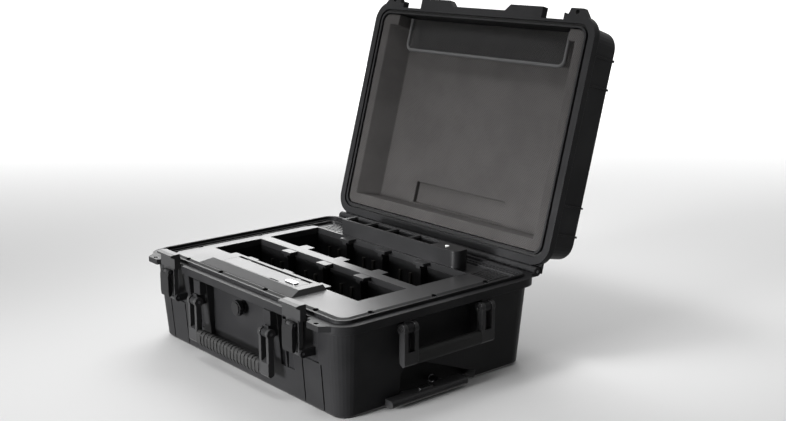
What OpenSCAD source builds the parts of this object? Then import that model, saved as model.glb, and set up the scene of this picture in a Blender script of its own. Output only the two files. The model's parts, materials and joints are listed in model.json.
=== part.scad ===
// Wheeled hard case with a battery charging deck, eight large bays and four small ports.
// Frame: origin at the middle of the flat bottom, +X to the right along the front,
// +Y to the back, +Z up. The lid is drawn closed and then turned open about its hinge.

/* [Case] */
// Outer width across the rim flange
case_w = 560; // [540:1:600]
// Outer depth across the rim flange
case_d = 422; // [410:1:440]
// Height of the parting plane above the floor
rim_z = 152; // [150:1:156]
// Height of the rim flange
flange_h = 13; // [10:1:15]
// How far the foot of the tub is set in from the flange, per side
foot_inset = 19; // [14:1:22]
// How far the tub wall is set in under the flange, per side
wall_inset = 8; // [6:1:10]
// Wall thickness of the tub and the lid
wall = 4; // [3:0.5:5]
// Corner radius of the rim flange
corner_r = 36; // [28:1:42]

/* [Lid] */
// Height of the lid above the parting plane
lid_h = 80; // [74:1:84]
// Opening angle of the lid at rest
open_angle = 105.2; // [90:0.1:110]
// Distance of the hinge axis behind the flange
hinge_back = 8.5; // [7:0.5:12]
// Radius of a hinge knuckle
knuckle_r = 7.8; // [6:0.2:7.8]
// Radius of the hinge pins
hinge_pin_r = 2.5; // [2:0.1:3]
// Width of the foam frame around the recess
foam_frame = 19; // [14:1:24]

/* [Bays] */
// Length of one large bay
bay_w = 102.5; // [95:0.5:102.5]
// Number of bays in a row
bay_count = 4; // [3:1:4]
// Depth of the front row of bays
front_bay_d = 99; // [90:1:99]
// Depth of the rear row of bays
rear_bay_d = 111; // [95:1:111]
// Height of the bay floor above the ground
bay_floor_z = 30; // [28:1:60]

/* [Latches and handles] */
// Distance of each latch from the middle
latch_x = 180; // [170:1:185]
// Half length of the front handle, to the outside of its arms
front_handle_half = 118; // [110:1:120]
// Half length of the side handle, to the outside of its arms
side_handle_half = 95; // [88:1:100]

/* [Wheels and pull handle] */
// Radius of a wheel over its tyre
wheel_r = 25; // [22:0.5:26]
// Distance of each wheel from the middle
wheel_y = 150; // [130:1:152]
// Outer radius of the fixed trolley tubes
tube_r = 7.5; // [6:0.5:8]

/* [Hidden] */
$fn = 48;
EPS = 0.01;
hw = case_w / 2;
hd = case_d / 2;
flange_z = rim_z - flange_h;
wall_x = hw - wall_inset;
wall_y = hd - wall_inset;
foot_x = hw - foot_inset;
foot_y = hd - foot_inset;
wall_r = corner_r - wall_inset + 6;
foot_r = wall_r - 8;
// Tongue of the rim and the groove of the lid that takes it
tongue_in = 14;
tongue_w = 3.5;
tongue_h = 5;
lid_z = rim_z + 0.3;
lid_top = rim_z + lid_h;
// Height of the foam's recessed floor, and the cavity's straight part, with the lid closed
foam_floor = rim_z + 48;
hinge_y = hd + hinge_back;
hinge_z = rim_z + 1.5;
hinge_first = 95;
hinge_pitch = 18.8;
hinge_n = 9;
// Deck of the charging station
deck_z = rim_z;
deck_floor = rim_z - 6;
deck_under = rim_z - 11;
deck_x = hw - 29;
deck_y0 = -(hd - 26);
deck_y1 = 130;
plate_x = hw - 26;
plate_y = hd - 24;
row_x1 = 190;
row_x0 = row_x1 - bay_w * bay_count;
front_row_y = -104;
rear_row_y = 16;
liner_t = 3;
tab_half = 13;
// Small battery tray
tray_x0 = -150;
tray_x1 = 158;
tray_y0 = 131.5;
tray_y1 = 165;
tray_top = rim_z + 29;
port_w = 50;
port_pitch = 60;
port_x0 = -140;
port_n = 4;
port_y0 = 137;
port_y1 = 160;
// Raised port housing on the deck
house_top = rim_z + 8;
door_x0 = -118;
door_x1 = 88;
door_y0 = -153;
door_y1 = -121;
door_t = 3;
door_hinge_y = -118.5;
door_hinge_z = house_top - 2.5;
door_tabs = [-92, 50];
door_tab_w = 12;
button_x = 65;
button_y = -139;
// Front wall features
bay_half = 92;
bay_back_y = -(hd - 23);
pocket_in = 10;
latch_pin_y = -(hd + 6);
latch_pin_z = 96;
latch_pin_r = 2.2;
neck_half = 16;
block_half = 23;
lever_pin_y = latch_pin_y - 9;
lever_pin_z = 140;
lever_pin_r = 2;
fh_pin_y = -(hd + 6);
fh_pin_z = 104;
fh_hub_r = 8;
fh_leg = 6;
handle_pin_r = 2.5;
sh_pin_x = hw + 1;
sh_pin_z = 127;
sh_hub_r = 9;
sh_leg = 7;
valve_z = 114;
// Trolley handle
tube_z = 12;
tube_ys = [-73, 7];
tube_x0 = -205;
tube_x1 = 232;
grip_x0 = 254;
grip_x1 = 282;
grip_y0 = -112;
grip_y1 = 45;
// Wheels
wheel_x = -(hw - 28);
wheel_z = wheel_r + 1;
wheel_w = 24;
axle_r = 4;
// Fans
fan_x = 206;
fan_y = 156.6;
fan_half = 26;
fan_z0 = 121;
fan_z1 = 141;
run_gap = 0.06;
screws = [[-190, -178], [-85, -178], [45, -178], [179, -178], [243, -121], [243, 7], [243, 120],
          [-243, -121], [-243, 7], [-243, 120]];

// ---- Shared shapes ----

// Rounded rectangle centred on the origin
module rounded(w, d, r) {
    for (sx = [-1, 1], sy = [-1, 1])
        translate([sx * (w / 2 - r), sy * (d / 2 - r)]) circle(r);
    square([w - 2 * r, d], center = true);
    square([w, d - 2 * r], center = true);
}

// Slab with rounded corners between two heights
module slab(w, d, r, z0, z1) {
    translate([0, 0, z0]) linear_extrude(z1 - z0) rounded(w, d, r);
}

// Box given by its low and high corners
module box(a, b) {
    translate(a) cube(b - a);
}

// Flat ring that follows the rim, from in0 to in1 inside the flange
module rim_ring(in0, in1, z0, z1) {
    difference() {
        slab(case_w - 2 * in0, case_d - 2 * in0, corner_r - in0, z0, z1);
        slab(case_w - 2 * in1, case_d - 2 * in1, corner_r - in1, z0 - 1, z1 + 1);
    }
}

// Drafted block between two rounded outlines
module drafted(w0, d0, r0, z0, w1, d1, r1, z1) {
    hull() {
        slab(w0, d0, r0, z0, z0 + EPS, $fn = 32);
        slab(w1, d1, r1, z1 - EPS, z1, $fn = 32);
    }
}

// Outline in Y and Z drawn out along X
module along_x(x0, x1) {
    translate([x0, 0, 0]) rotate([90, 0, 90]) linear_extrude(x1 - x0) children();
}

// Outline in X and Z drawn out along Y
module along_y(y0, y1) {
    translate([0, y1, 0]) rotate([90, 0, 0]) linear_extrude(y1 - y0) children();
}

// Round bar along X
module bar_x(r, x0, x1, y, z) {
    translate([x0, y, z]) rotate([0, 90, 0]) cylinder(r = r, h = x1 - x0);
}

// Round bar along Y
module bar_y(r, y0, y1, x, z) {
    translate([x, y1, z]) rotate([90, 0, 0]) cylinder(r = r, h = y1 - y0);
}

// Both mirror images about the YZ plane
module both_x() {
    children();
    mirror([1, 0, 0]) children();
}

// Both mirror images about the XZ plane
module both_y() {
    children();
    mirror([0, 1, 0]) children();
}

// Pill outline between two points along X
module pill(l, r) {
    square([l - 2 * r, 2 * r], center = true);
    for (s = [-1, 1]) translate([s * (l / 2 - r), 0]) circle(r);
}

// Turns lid parts from closed to open
module opened() {
    translate([0, hinge_y, hinge_z]) rotate([-open_angle, 0, 0])
        translate([0, -hinge_y, -hinge_z]) children();
}

// ---- Base ----

module tub_outer() {
    drafted(2 * foot_x - 8, 2 * foot_y - 8, foot_r - 4, 0, 2 * foot_x, 2 * foot_y, foot_r, 5);
    drafted(2 * foot_x, 2 * foot_y, foot_r, 5 - EPS, 2 * wall_x, 2 * wall_y, wall_r, flange_z + EPS);
}

module tub_cavity() {
    drafted(2 * (foot_x - wall), 2 * (foot_y - wall), foot_r - wall, wall,
            2 * (wall_x - wall), 2 * (wall_y - wall), wall_r - wall, flange_z + EPS);
}

// Recess for the front handle and the valve, as an outline in Y and Z
module front_bay_outline(grow = 0) {
    polygon([[-hd - 5, 8 - grow], [bay_back_y + grow, 44 - grow],
             [bay_back_y + grow, flange_z + EPS], [-hd - 5, flange_z + EPS]]);
}

// Recess for the side handle, as an outline in X and Z
module side_bay_outline(grow = 0) {
    polygon([[hw + 5, 52 - grow], [252 - grow, 72 - grow], [252 - grow, flange_z + EPS],
             [hw + 5, flange_z + EPS]]);
}

// Recess for the parked pull handle, as an outline in Y and Z
module trolley_bay_outline() {
    polygon([[-82, -1], [-82, 50], [-72, 60], [-30, 57], [50, 25], [80, 15], [80, -1]]);
}

module wheel_wells(grow = 0) {
    both_y() box([-hw - 5, wheel_y - wheel_w / 2 - 2 - grow, -1],
                 [wheel_x + wheel_r + 4 + grow, wheel_y + wheel_w / 2 + 2 + grow,
                  2 * wheel_r + 8 + grow]);
}

module base_shell() {
    color([0.10, 0.10, 0.105]) difference() {
        union() {
            difference() {
                union() {
                    tub_outer();
                    slab(case_w, case_d, corner_r, flange_z, rim_z);
                }
                difference() {
                    union() {
                        tub_cavity();
                        slab(case_w - 46, case_d - 44, corner_r - 22, flange_z - EPS, rim_z + 1);
                    }
                    along_x(-bay_half - 3, bay_half + 3) front_bay_outline(3);
                    both_x() box([113 - 3, -hd, 50 - 3], [148 + 3, -hd + 21, flange_z]);
                    both_x() box([169 - 3, -hd, 80 - 3], [214 + 3, -hd + 21, flange_z]);
                    both_x() box([166, -hd, 0], [224, -hd + 25, 85]);
                    along_y(-80, 80) side_bay_outline(3);
                    box([232, -85, 0], [hw, 83, 63]);
                    intersection() {
                        wheel_wells(3);
                        box([-hw, -hd, 0], [0, hd, 100]);
                    }
                    deck_supports();
                }
            }
            rim_ring(tongue_in, tongue_in + tongue_w, rim_z - EPS, rim_z + tongue_h);
            both_x() box([93, -hd - 3, 116], [112, -hd + 12, flange_z]);
            both_x() box([99.5, -hd - 6, fh_pin_z - 7], [110.5, -hd + 18, fh_pin_z + 12]);
            both_x() bar_x(7, 99.5, 110.5, fh_pin_y, fh_pin_z);
            both_x() for (s = [0, 1]) latch_ear(latch_x - 21.5 + s * 38);
            both_y() side_handle_ear();
            both_x() base_knuckles();
            bar_x(knuckle_r, -hinge_first - EPS, hinge_first + EPS, hinge_y, hinge_z);
            box([-hinge_first - EPS, hd - 6, rim_z - 6], [hinge_first + EPS, hinge_y, rim_z]);
            both_x() mirror([0, 1, 0]) padlock_lug(rim_z - 9, rim_z);
        }
        // Openings in the walls
        along_x(-bay_half, bay_half) difference() {
            front_bay_outline();
        }
        both_x() difference() {
            box([113, -hd - 5, 50], [148, -hd + 18, flange_z - 0.1]);
            box([126, -hd - 6, 49], [129, -hd + 19, flange_z]);
        }
        both_x() difference() {
            box([169, -hd - 5, 80], [214, -hd + 16, flange_z - 0.1]);
            latch_ear(latch_x + 16.5);
        }
        both_x() for (x = [169.5, 217]) box([x, -hd - 5, -1], [x + 3, -hd + 20, 79]);
        difference() {
            along_y(-77, 77) side_bay_outline();
            both_y() side_handle_ear();
        }
        along_x(235, hw + 5) trolley_bay_outline();
        for (y = tube_ys) bar_x(tube_r, tube_x1 - 6, 240, y, tube_z);
        wheel_wells();
        both_y() bar_y(axle_r, wheel_y - 22, wheel_y + 22, wheel_x, wheel_z);
        // Notches for the latches
        both_x() box([latch_x - 24, -hd - 5, flange_z - 1], [latch_x + 24, -hd + 6.5, rim_z + 1]);
        // Bores
        both_x() bar_x(handle_pin_r, 98, 112, fh_pin_y, fh_pin_z);
        both_x() bar_x(latch_pin_r, latch_x - 23, latch_x + 23, latch_pin_y, latch_pin_z);
        both_y() bar_y(handle_pin_r, side_handle_half - 21, side_handle_half - 6, sh_pin_x, sh_pin_z);
        both_x() bar_x(hinge_pin_r, hinge_first - 1, hinge_first + hinge_n * hinge_pitch + 1,
                       hinge_y, hinge_z);
        bar_y(11, bay_back_y - 4, bay_back_y + 6, 0, valve_z);
        both_x() translate([233, -hd - 5.5, rim_z - 10]) cylinder(r = 5.5, h = 20);
        both_x() both_y() translate([215, 160, -1]) cylinder(r = 9, h = 4);
        for (p = screws) translate([p[0], p[1], 126]) cylinder(r = 1.8, h = 30);
    }
}

// Ledge and bosses that carry the deck
module deck_supports() {
    difference() {
        slab(2 * wall_x, 2 * wall_y, wall_r, deck_under - 5, deck_under);
        slab(case_w - 58, case_d - 56, corner_r - 24, deck_under - 6, deck_under + 1);
    }
    for (p = screws) translate([p[0], p[1], 0]) {
        translate([0, 0, 122]) cylinder(r = 6, h = deck_under - 122);
        if (abs(p[0]) > 230) {
            box([p[0] > 0 ? 0 : -30, -4, 122], [p[0] > 0 ? 30 : 0, 4, deck_under]);
        } else {
            box([-4, -30, 122], [4, 0, deck_under]);
        }
    }
}

module latch_ear(x0) {
    box([x0, latch_pin_y, latch_pin_z - 6], [x0 + 5, -hd + 18, latch_pin_z + 6]);
    bar_x(6, x0, x0 + 5, latch_pin_y, latch_pin_z);
}

module side_handle_ear() {
    y0 = side_handle_half - 20;
    box([250, y0, sh_pin_z - 8], [sh_pin_x, y0 + 12, flange_z + EPS]);
    bar_y(8, y0, y0 + 12, sh_pin_x, sh_pin_z);
}

module base_knuckles() {
    for (i = [0:2:hinge_n - 1]) {
        x0 = hinge_first + i * hinge_pitch;
        bar_x(knuckle_r, x0, x0 + hinge_pitch - 0.4, hinge_y, hinge_z);
        box([x0, hd - 6, rim_z - 6], [x0 + hinge_pitch - 0.4, hinge_y, rim_z]);
    }
}

// Corner lug that a padlock passes through, drawn for the +X +Y corner
module padlock_lug(z0, z1) {
    translate([0, 0, z0]) linear_extrude(z1 - z0)
        polygon([[212, hd - 4], [218, hd + 12], [246, hd + 12], [262, hd - 8]]);
}

module base_bushings() {
    color("silver") both_x() translate([233, -hd - 5.5, rim_z - 9]) difference() {
        cylinder(r = 5.5, h = 9);
        translate([0, 0, -1]) cylinder(r = 4, h = 11);
    }
}

module feet_pads() {
    color([0.05, 0.05, 0.05]) both_x() both_y() translate([215, 160, 0]) cylinder(r = 9, h = 3);
}

module hinge_pins() {
    color("silver") both_x() bar_x(hinge_pin_r, hinge_first,
                                   hinge_first + hinge_n * hinge_pitch - 0.4, hinge_y, hinge_z);
}

// ---- Charging deck ----

module bay_row(y0, d, z0, z1, grow = 0) {
    box([row_x0 - grow, y0 - grow, z0], [row_x1 + grow, y0 + d + grow, z1]);
}

// Tab between two bays, and the rib under it
module divider(x, y0, y1, rib_to, z_top) {
    box([x - tab_half, y0, z_top - 5], [x + tab_half, y1, z_top]);
    if (rib_to < z_top - 5) box([x - 5, y0, rib_to], [x + 5, y1, z_top - 4]);
}

module row_dividers(y0, y1, rib_to, z_top, reach) {
    for (i = [1:bay_count - 1]) {
        x = row_x0 + i * bay_w;
        divider(x, y0, y0 + reach, rib_to, z_top);
        divider(x, y1 - reach, y1, rib_to, z_top);
    }
}

module deck_panel() {
    reach = 17;
    color([0.13, 0.13, 0.135]) difference() {
        union() {
            difference() {
                union() {
                    slab(2 * plate_x, 2 * plate_y, 14, deck_under, deck_floor);
                    difference() {
                        slab(2 * plate_x, 2 * plate_y, 14, deck_floor - EPS, deck_z - 1.5);
                        slab(2 * plate_x - 8, 2 * plate_y - 5, 11, deck_floor - 1, deck_z);
                    }
                    hull() {
                        translate([0, (deck_y0 + deck_y1) / 2, 0])
                            slab(2 * deck_x, deck_y1 - deck_y0, 16, deck_floor - EPS, deck_floor, $fn = 32);
                        translate([0, (deck_y0 + deck_y1) / 2 + 5, 0])
                            slab(2 * deck_x - 20, deck_y1 - deck_y0 - 10, 14, deck_z - EPS, deck_z, $fn = 32);
                    }
                }
                bay_row(front_row_y, front_bay_d, deck_under - 1, deck_z + 1);
                bay_row(rear_row_y, rear_bay_d, deck_under - 1, deck_z + 1);
            }
            row_dividers(front_row_y - EPS, front_row_y + front_bay_d + EPS, deck_under, deck_z - 0.5, reach);
            row_dividers(rear_row_y - EPS, rear_row_y + rear_bay_d + EPS, deck_under, deck_z - 0.5, reach);
        }
        box([tray_x0 + 5, tray_y0 + 2, deck_under - 1], [port_x0 + port_n * port_pitch + 5, tray_y1 - 2, deck_z]);
        box([door_x0 - 6, door_y0 - 3, deck_under - 1], [door_x1 + 6, -112, deck_z + 1]);
        for (s = [-1, 1]) box([s * fan_x - 26, 137, deck_under - 1], [s * fan_x + 26, 184, deck_z]);
        for (p = screws) translate([p[0], p[1], 0]) {
            cylinder(r = 2, h = 200);
            translate([0, 0, deck_floor]) cylinder(r = 5.5, h = 20);
        }
    }
}

module deck_screws() {
    color("silver") for (p = screws) translate([p[0], p[1], 0]) {
        translate([0, 0, 128]) cylinder(r = 1.8, h = deck_floor - 128);
        difference() {
            translate([0, 0, deck_floor]) cylinder(r = 4, h = 2.4);
            translate([0, 0, deck_floor + 1]) cylinder(r = 2, h = 3, $fn = 6);
        }
    }
}

module bay_liner(y0, d) {
    difference() {
        union() {
            difference() {
                bay_row(y0, d, bay_floor_z - liner_t, deck_under, liner_t);
                bay_row(y0, d, bay_floor_z, deck_under + 1);
            }
            row_dividers(y0 - EPS, y0 + d + EPS, bay_floor_z - EPS, deck_under, 15);
        }
        // Open the lower part of each divider to a slim rib
        for (i = [1:bay_count - 1]) {
            x = row_x0 + i * bay_w;
            for (s = [-1, 1]) box([x + (s > 0 ? 5 : -tab_half - 1), y0, bay_floor_z],
                                  [x + (s > 0 ? tab_half + 1 : -5), y0 + d, deck_under + 1]);
        }
    }
}

module bay_liner_front() {
    color([0.07, 0.07, 0.07]) bay_liner(front_row_y, front_bay_d);
}

module bay_liner_rear() {
    color([0.07, 0.07, 0.07]) bay_liner(rear_row_y, rear_bay_d);
}

module bay_contacts() {
    color("gold") for (row = [[front_row_y + front_bay_d, 0], [rear_row_y + rear_bay_d, 0]],
                       i = [0:bay_count - 1], s = [-1, 1])
        translate([row_x0 + (i + 0.5) * bay_w + s * 14, row[0], 0])
            box([-2.5, -3, 62], [2.5, 0, 122]);
}

module tray_outline() {
    w = tray_y1 - tray_y0;
    translate([tray_x0, tray_y0]) square([tray_x1 - tray_x0 - 12, w]);
    translate([tray_x1 - 12, tray_y0 + 12]) circle(12);
    translate([tray_x1 - 12, tray_y1 - 12]) circle(12);
    translate([tray_x1 - 13, tray_y0 + 12]) square([13, w - 24]);
    translate([tray_x1 - 24, tray_y0]) square([12, w]);
}

module small_tray() {
    color([0.12, 0.12, 0.125]) difference() {
        union() {
            translate([0, 0, deck_floor]) linear_extrude(tray_top - deck_floor) tray_outline();
            box([tray_x0 + 5.3, tray_y0 + 2.3, 108],
                [port_x0 + port_n * port_pitch + 4.7, tray_y1 - 2.3, deck_floor + EPS]);
        }
        for (i = [0:port_n - 1]) {
            x0 = port_x0 + i * port_pitch;
            box([x0, port_y0, 112], [x0 + port_w, port_y1, tray_top + 1]);
            box([x0 - 2, port_y0 - 2, tray_top - 2], [x0 + port_w + 2, port_y1 + 2, tray_top + 1]);
        }
        translate([120, 148, tray_top - 4]) cylinder(r = 3.5, h = 10);
    }
}

module small_contacts() {
    color("gold") for (i = [0:port_n - 1], s = [-1, 1])
        translate([port_x0 + i * port_pitch + port_w / 2 + s * 8, port_y1, 0])
            box([-1.5, -2, 116], [1.5, 0, 140]);
}

module status_light() {
    color("white") translate([120, 148, tray_top - 4]) cylinder(r = 3.5, h = 5);
}

module vent_grille(x) {
    color([0.11, 0.11, 0.115]) difference() {
        box([x - 26, 137, deck_under], [x + 26, 184, deck_floor + 1]);
        for (i = [0:5]) box([x - 22, 140.5 + i * 7, deck_under - 1], [x + 22, 144.5 + i * 7, deck_floor + 2]);
    }
}

module vent_grille_left() {
    vent_grille(-fan_x);
}

module vent_grille_right() {
    vent_grille(fan_x);
}

module fan_frame(x) {
    color([0.16, 0.16, 0.17]) translate([x, fan_y, 0]) difference() {
        box([-fan_half, -fan_half, fan_z0], [fan_half, fan_half, fan_z1]);
        translate([0, 0, fan_z0 + 3]) cylinder(r = fan_half - 2, h = 30);
        difference() {
            translate([0, 0, fan_z0 - 1]) cylinder(r = fan_half - 2, h = 5);
            translate([0, 0, fan_z0 - 2]) cylinder(r = 10, h = 7);
            for (a = [45, 135]) rotate(a) box([-30, -2, fan_z0 - 2], [30, 2, fan_z0 + 5]);
        }
    }
    color([0.16, 0.16, 0.17]) translate([x, fan_y, fan_z0 + 2]) cylinder(r = 2, h = 10);
}

module fan_frame_left() {
    fan_frame(-fan_x);
}

module fan_frame_right() {
    fan_frame(fan_x);
}

module fan_rotor(x) {
    color([0.2, 0.2, 0.21]) translate([x, fan_y, 0]) {
        difference() {
            translate([0, 0, fan_z0 + 3.5]) cylinder(r = 11, h = 13);
            translate([0, 0, fan_z0 + 3]) cylinder(r = 2 + run_gap, h = 10);
        }
        for (i = [0:6]) rotate(i * 360 / 7) translate([10, 0, fan_z0 + 10]) rotate([35, 0, 0])
            box([0, -1, -6], [13, 1, 6]);
    }
}

module fan_rotor_left() {
    fan_rotor(-fan_x);
}

module fan_rotor_right() {
    fan_rotor(fan_x);
}

module power_supply() {
    color("silver") difference() {
        box([-150, -178, wall], [150, -112, 72]);
        for (i = [0:11]) box([-140 + i * 24, -180, 64], [-128 + i * 24, -110, 68]);
    }
}

module control_board() {
    color("darkgreen") difference() {
        union() {
            box([-110, -172, 78], [78, -113, 80]);
            for (x = [-98, 66], y = [-161, -124]) translate([x, y, 72]) cylinder(r = 3, h = 6 + EPS);
            for (i = [0:4]) box([-100 + i * 34, -165, 80 - EPS], [-80 + i * 34, -145, 88]);
            for (i = [0:3]) translate([-90 + i * 40, -128, 80 - EPS]) cylinder(r = 5, h = 12);
        }
        for (x = [-104, 72], y = [-167, -118]) translate([x, y, 74]) cylinder(r = 2, h = 10);
    }
}

// ---- Raised port housing ----

module port_housing() {
    color([0.13, 0.13, 0.135]) difference() {
        union() {
            hull() {
                box([-158, -174, deck_z], [112, -105, deck_z + EPS]);
                box([-144, -155, house_top - EPS], [106, -108, house_top]);
            }
            box([door_x0 - 5.7, door_y0 - 2.7, 120], [door_x1 + 5.7, -112.3, deck_z + EPS]);
        }
        box([door_x0 + 4, door_y0 + 4, 124], [door_x1 - 4, door_y1 - 2, house_top + 1]);
        box([door_x0 - 0.5, door_y0 - 0.5, house_top - door_t], [door_x1 + 0.5, -114.5, house_top + 1]);
        for (x = door_tabs) box([x - 0.4, -122, house_top - 5.5], [x + door_tab_w + 0.4, -115.5, house_top + 1]);
        for (x = door_tabs) bar_x(1, x - 3, x + door_tab_w + 3, door_hinge_y, door_hinge_z);
    }
}

module port_sockets() {
    color([0.2, 0.2, 0.2]) difference() {
        box([door_x0 + 8, door_y0 + 8, 124], [door_x1 - 8, door_y1 - 6, 140]);
        for (i = [0:2]) box([-96 + i * 22, -140, 132], [-84 + i * 22, -134, 141]);
        box([-10, -143, 128], [22, -130, 141]);
        translate([56, -137, 130]) cylinder(r = 6, h = 12);
    }
}

module port_door() {
    color([0.13, 0.13, 0.135]) difference() {
        union() {
            box([door_x0, door_y0, house_top - door_t + 0.2], [door_x1, door_y1, house_top]);
            for (x = door_tabs) {
                box([x, door_y1 - 1, door_hinge_z - 0.3], [x + door_tab_w, door_hinge_y, house_top - 0.4]);
                bar_x(2.1, x, x + door_tab_w, door_hinge_y, door_hinge_z);
            }
        }
        for (x = door_tabs) bar_x(1 + run_gap, x - 1, x + door_tab_w + 1, door_hinge_y, door_hinge_z);
        translate([button_x, button_y, house_top - 10]) linear_extrude(20) pill(28.8, 5.9);
        translate([34, door_y0, house_top - 10]) linear_extrude(20) pill(26, 3);
    }
}

module door_pins() {
    color("silver") for (x = door_tabs) bar_x(1, x - 2.6, x + door_tab_w + 2.6, door_hinge_y, door_hinge_z);
}

module door_button() {
    color("silver") translate([button_x, button_y, house_top - 2.6]) linear_extrude(4.4) pill(28, 5.5);
}

// ---- Valve ----

module valve_body() {
    color([0.06, 0.06, 0.06]) {
        bar_y(11, bay_back_y - 5, bay_back_y + 4, 0, valve_z);
        bar_y(8, bay_back_y - 9, bay_back_y - 5 + EPS, 0, valve_z);
        bar_y(4, bay_back_y - 14, bay_back_y - 9 + EPS, 0, valve_z);
    }
}

module valve_knob() {
    color([0.12, 0.12, 0.12]) difference() {
        union() {
            bar_y(13, bay_back_y - 16, bay_back_y - 9.3, 0, valve_z);
            bar_y(10, bay_back_y - 18, bay_back_y - 16 + EPS, 0, valve_z);
        }
        bar_y(4 + run_gap, bay_back_y - 15, bay_back_y - 9, 0, valve_z);
        for (a = [0:30:330]) translate([0, 0, valve_z]) rotate([0, a, 0]) translate([0, 0, -valve_z])
            bar_y(1.6, bay_back_y - 17, bay_back_y - 9, 0, valve_z + 13.6);
    }
}

// ---- Handles ----

module front_handle() {
    color([0.11, 0.11, 0.115]) difference() {
        union() {
            both_x() for (x = [front_handle_half - 26, front_handle_half - fh_leg]) {
                bar_x(fh_hub_r, x, x + fh_leg, fh_pin_y, fh_pin_z);
                box([x, fh_pin_y - 6, 48], [x + fh_leg, fh_pin_y + 4, fh_pin_z]);
            }
            both_x() along_x(front_handle_half - 26, front_handle_half)
                polygon([[fh_pin_y - 3, 33], [fh_pin_y + 4, 36], [fh_pin_y + 4, 62], [fh_pin_y - 7, 57], [fh_pin_y - 7, 37]]);
            bar_x(4, -front_handle_half + 24, front_handle_half - 24, fh_pin_y - 1, 45);
        }
        both_x() bar_x(handle_pin_r + run_gap, front_handle_half - 28, front_handle_half + 2, fh_pin_y, fh_pin_z);
    }
}

// Flat-sided bar with round edges along X
module grip_bar(r, x0, x1) {
    for (z = [40, 50]) bar_x(r, x0, x1, fh_pin_y - 1, z);
    box([x0, fh_pin_y - 1 - r, 40], [x1, fh_pin_y - 1 + r, 50]);
}

module front_grip() {
    color([0.07, 0.07, 0.07]) difference() {
        union() {
            grip_bar(7.2, -front_handle_half + 26, front_handle_half - 26);
            for (i = [-8:8]) grip_bar(8.4, i * 10 - 2.8, i * 10 + 2.8);
        }
        bar_x(4, -front_handle_half, front_handle_half, fh_pin_y - 1, 45);
    }
}

module front_handle_pins() {
    color("silver") both_x() bar_x(handle_pin_r, front_handle_half - 26, front_handle_half, fh_pin_y, fh_pin_z);
}

module side_handle() {
    z0 = 67;
    color([0.11, 0.11, 0.115]) difference() {
        union() {
            both_y() for (y = [side_handle_half - 28, side_handle_half - sh_leg]) {
                bar_y(sh_hub_r, y, y + sh_leg, sh_pin_x, sh_pin_z);
                box([sh_pin_x - 4, y, z0 + 8], [sh_pin_x + 8, y + sh_leg, sh_pin_z]);
            }
            both_y() along_y(side_handle_half - 28, side_handle_half)
                polygon([[sh_pin_x - 4, z0 + 6], [sh_pin_x + 4, z0 + 1], [sh_pin_x + 8, z0 + 5], [sh_pin_x + 8, z0 + 24], [sh_pin_x - 4, z0 + 20]]);
            bar_y(5, -side_handle_half + 26, side_handle_half - 26, sh_pin_x + 2, z0 + 12);
        }
        both_y() bar_y(handle_pin_r + run_gap, side_handle_half - 30, side_handle_half + 2, sh_pin_x, sh_pin_z);
    }
}

module side_grip() {
    z0 = 67;
    color([0.07, 0.07, 0.07]) difference() {
        hull() for (z = [z0 + 8, z0 + 17])
            bar_y(7, -side_handle_half + 28, side_handle_half - 28, sh_pin_x + 2, z);
        bar_y(5, -side_handle_half, side_handle_half, sh_pin_x + 2, z0 + 12);
    }
}

module side_handle_pins() {
    color("silver") both_y() bar_y(handle_pin_r, side_handle_half - 28, side_handle_half, sh_pin_x, sh_pin_z);
}

// ---- Latches, drawn for the right-hand one ----

module latch_pins() {
    color("silver") both_x() bar_x(latch_pin_r, latch_x - 21.5, latch_x + 21.5, latch_pin_y, latch_pin_z);
}

module latch_jaw() {
    color([0.16, 0.16, 0.165]) difference() {
        union() {
            bar_x(5, latch_x - neck_half, latch_x + neck_half, latch_pin_y, latch_pin_z);
            box([latch_x - neck_half, latch_pin_y - 4, latch_pin_z], [latch_x + neck_half, latch_pin_y + 4, rim_z]);
            box([latch_x - block_half, latch_pin_y - 6, rim_z - 4], [latch_x + block_half, latch_pin_y + 4.7, rim_z + 21]);
            along_x(latch_x - block_half, latch_x + block_half)
                polygon([[latch_pin_y - 5, rim_z + 13], [latch_pin_y - 13, rim_z + 17],
                         [latch_pin_y - 13, rim_z + 20], [latch_pin_y - 5, rim_z + 21]]);
            box([latch_x - 5, lever_pin_y, lever_pin_z - 4], [latch_x + 5, latch_pin_y - 3, lever_pin_z + 4]);
            bar_x(4, latch_x - 5, latch_x + 5, lever_pin_y, lever_pin_z);
        }
        bar_x(latch_pin_r + run_gap, latch_x - 30, latch_x + 30, latch_pin_y, latch_pin_z);
        bar_x(lever_pin_r, latch_x - 6, latch_x + 6, lever_pin_y, lever_pin_z);
        box([latch_x - 12, latch_pin_y - 2, rim_z + 7], [latch_x + 12, latch_pin_y + 6, rim_z + 13]);
    }
}

module latch_jaw_right() {
    latch_jaw();
}

module latch_jaw_left() {
    mirror([1, 0, 0]) latch_jaw();
}

module latch_hook() {
    color([0.05, 0.05, 0.05]) {
        box([latch_x - 12, latch_pin_y - 2, rim_z + 7], [latch_x + 12, latch_pin_y + 6, rim_z + 13]);
        along_x(latch_x - 12, latch_x + 12)
            polygon([[latch_pin_y + 6 - EPS, rim_z + 7], [latch_pin_y + 12.5, rim_z + 7],
                     [latch_pin_y + 12.5, rim_z + 10], [latch_pin_y + 10, rim_z + 13],
                     [latch_pin_y + 6 - EPS, rim_z + 13]]);
    }
}

module latch_hook_right() {
    latch_hook();
}

module latch_hook_left() {
    mirror([1, 0, 0]) latch_hook();
}

module lever_pin() {
    color("silver") bar_x(lever_pin_r, latch_x - 12.6, latch_x + 12.6, lever_pin_y, lever_pin_z);
}

module lever_pin_right() {
    lever_pin();
}

module lever_pin_left() {
    mirror([1, 0, 0]) lever_pin();
}

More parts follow.
